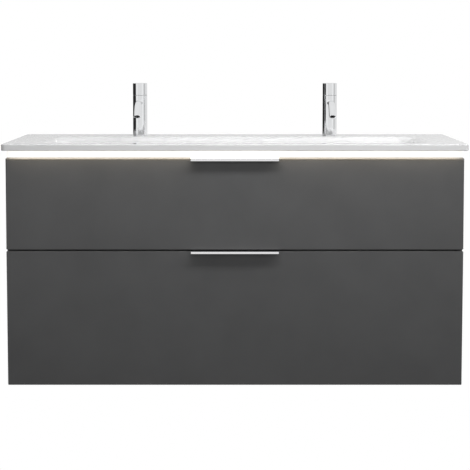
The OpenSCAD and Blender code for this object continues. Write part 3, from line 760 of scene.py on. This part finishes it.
# ---------------------------------------------------------------- camera, light and stage

CAMERA_LENS = 111.5
CAMERA_PLACE = (0.0004, -4.300, 0.8795)
CAMERA_PITCH = 4.70
CAMERA_SHIFT = -0.13

camera = bpy.data.objects.new("camera", bpy.data.cameras.new("camera"))
camera.data.lens = CAMERA_LENS
camera.data.sensor_width = 36
camera.data.shift_y = CAMERA_SHIFT
camera.location = CAMERA_PLACE
camera.rotation_euler = (math.radians(90 - CAMERA_PITCH), 0, 0)
scene.collection.objects.link(camera)
scene.camera = camera
scene.view_settings.view_transform = "Standard"


def area_light(name, place, target, size, watts, colour=(1, 1, 1), mirrored=True):
    """A softbox that lights the object and isn't itself seen, except in reflections if it is mirrored."""
    lamp = bpy.data.lights.new(name, "AREA")
    lamp.shape = "RECTANGLE"
    lamp.size, lamp.size_y = size
    lamp.energy = watts
    lamp.color = colour
    made = bpy.data.objects.new(name, lamp)
    made.location = place
    made.rotation_euler = (Vector(target) - Vector(place)).to_track_quat("-Z", "Y").to_euler()
    made.visible_camera = False
    made.visible_glossy = mirrored
    scene.collection.objects.link(made)


def studio_world(bands, panels, matt_share):
    """Plain white to the camera. In reflections it is a pale room: bands are (height, light) pairs from -1
    straight down to 1 straight up. Panels (direction, cosines of its soft edge, light, half height or None)
    brighten or darken a patch of wall. Matt surfaces get only a share of that light."""
    world = bpy.data.worlds.new("studio")
    scene.world = world
    world.use_nodes = True
    tree = world.node_tree

    def node(kind, **settings):
        made = tree.nodes.new(kind)
        for key, value in settings.items():
            setattr(made, key, value)
        return made

    def ranged(source, from_min, from_max, to_min, to_max):
        made = node("ShaderNodeMapRange", interpolation_type="SMOOTHSTEP")
        for key, number in zip(RANGE_KEYS, (from_min, from_max, to_min, to_max)):
            made.inputs[key].default_value = number
        tree.links.new(source, made.inputs["Value"])
        return made.outputs["Result"]

    def combined(operation, *values):
        made = node("ShaderNodeMath", operation=operation)
        for value, socket in zip(values, made.inputs):
            tree.links.new(value, socket)
        return made.outputs["Value"]

    direction = node("ShaderNodeTexCoord").outputs["Generated"]
    rays = node("ShaderNodeLightPath")
    split = node("ShaderNodeSeparateXYZ")
    tree.links.new(direction, split.inputs["Vector"])
    height = node("ShaderNodeMapRange")
    height.inputs["From Min"].default_value = -1
    tree.links.new(split.outputs["Z"], height.inputs["Value"])
    ramp = node("ShaderNodeValToRGB")
    ramp.color_ramp.interpolation = "EASE"
    while len(ramp.color_ramp.elements) < len(bands):
        ramp.color_ramp.elements.new(1)
    for element, (z, light) in zip(ramp.color_ramp.elements, bands):
        element.position = (z + 1) / 2
        element.color = (light, light, light, 1)
    tree.links.new(height.outputs["Result"], ramp.inputs["Fac"])

    share = node("ShaderNodeMix")
    share.inputs["A"].default_value = 1
    share.inputs["B"].default_value = matt_share
    tree.links.new(rays.outputs["Is Diffuse Ray"], share.inputs["Factor"])
    strength = share.outputs["Result"]
    for towards, soft_from, soft_to, light, half_height in panels:
        dot = node("ShaderNodeVectorMath", operation="DOT_PRODUCT")
        dot.inputs[1].default_value = Vector(towards).normalized()
        tree.links.new(direction, dot.inputs[0])
        patch = ranged(dot.outputs["Value"], soft_from, soft_to, 1, light)
        if half_height:
            level = combined("ABSOLUTE", split.outputs["Z"])
            patch = combined("MAXIMUM", patch, ranged(level, half_height * 0.8, half_height * 1.2, 0, 1))
        strength = combined("MULTIPLY", strength, patch)
    room = tree.nodes["Background"]
    tree.links.new(ramp.outputs["Color"], room.inputs["Color"])
    tree.links.new(strength, room.inputs["Strength"])
    backdrop = node("ShaderNodeBackground")
    backdrop.inputs["Color"].default_value = (1, 1, 1, 1)
    mix = node("ShaderNodeMixShader")
    tree.links.new(rays.outputs["Is Camera Ray"], mix.inputs["Fac"])
    tree.links.new(room.outputs["Background"], mix.inputs[1])
    tree.links.new(backdrop.outputs["Background"], mix.inputs[2])
    tree.links.new(mix.outputs["Shader"], tree.nodes["World Output"].inputs["Surface"])


def pale_floor(height, half_size):
    """A plain white studio floor, evenly lit, well below the hanging cabinet."""
    corners = [(x * half_size, y * half_size, height) for x, y in ((-1, -1), (1, -1), (1, 1), (-1, 1))]
    mesh = bpy.data.meshes.new("floor")
    mesh.from_pydata(corners, [], [(0, 1, 2, 3)])
    floor = bpy.data.objects.new("floor", mesh)
    scene.collection.objects.link(floor)
    floor.visible_diffuse = False
    floor.visible_glossy = False
    shader = Shader("pale_floor").set(Base_Color=(0, 0, 0, 1), Specular_IOR_Level=0.0, Roughness=1.0)
    shader.set(Emission_Color=(1, 1, 1, 1), Emission_Strength=1.0)
    mesh.materials.append(shader.material)


studio_world(
    bands=[
        (-1, 0.12), (-0.34, 0.15), (-0.19, 0.82), (-0.07, 0.84),
        (-0.04, 0.78), (0.06, 0.86), (0.5, 0.80), (1, 0.84),
    ],
    panels=[
        ((-0.883, 0.469, 0), 0.60, 0.65, 0.03, 0.2),
        ((0.0, 1.0, 0.1), 0.90, 0.96, 0.72, None),
        ((0.97, -0.24, 0), 0.965, 0.99, 0.68, None),
        ((-0.74, -0.67, 0), 0.95, 0.985, 1.12, None),
        ((0.73, -0.68, 0), 0.95, 0.985, 1.12, None),
    ],
    matt_share=0.02,
)
pale_floor(-0.24, 30)
area_light("key", (0.8, -1.09, 1.73), (0.7, 0.0, 1.59), (3.0, 0.50), 55, mirrored=False)
area_light("front_fill", (0.3, -2.50, 1.30), (0.3, -0.4, 0.4), (3.0, 0.4), 8, mirrored=False)
area_light("low_fill", (0.3, -2.60, 0.50), (0.3, 0.0, 0.50), (3.0, 0.3), 7, mirrored=False)
area_light("back_fill", (-0.6, 3.2, 1.3), (0, 0, 0.4), (2.6, 1.8), 45, mirrored=False)
area_light("left_fill", (-3.0, 0.6, 1.1), (0, -0.2, 0.4), (1.8, 1.8), 30, mirrored=False)
area_light("right_fill", (3.0, 0.6, 1.1), (0, -0.2, 0.4), (1.8, 1.8), 30, mirrored=False)

# The light strip's own glow, from lamps as thin as the strip: forwards, down on the top edge of the upper
# front, and out at both sides.
WARM, AMBER, STRIP_MIDDLE = (1.0, 0.92, 0.82), (1.0, 0.82, 0.56), (LIGHT_LOW + LIGHT_HIGH) / 2 * MM
area_light("strip_front", (0, -0.4556, STRIP_MIDDLE), (0, -1, STRIP_MIDDLE), (1.19, 0.019), 0.3, WARM)
area_light("strip_spill", (0, -0.4785, 0.6262), (0, -0.4785, 0), (1.2, 0.02), 0.85, AMBER, mirrored=False)
for side in (-1, 1):
    place, target = (side * 0.6056, -0.235, STRIP_MIDDLE), (side, -0.235, STRIP_MIDDLE)
    area_light("strip_side", place, target, (0.43, 0.019), 0.2, WARM)
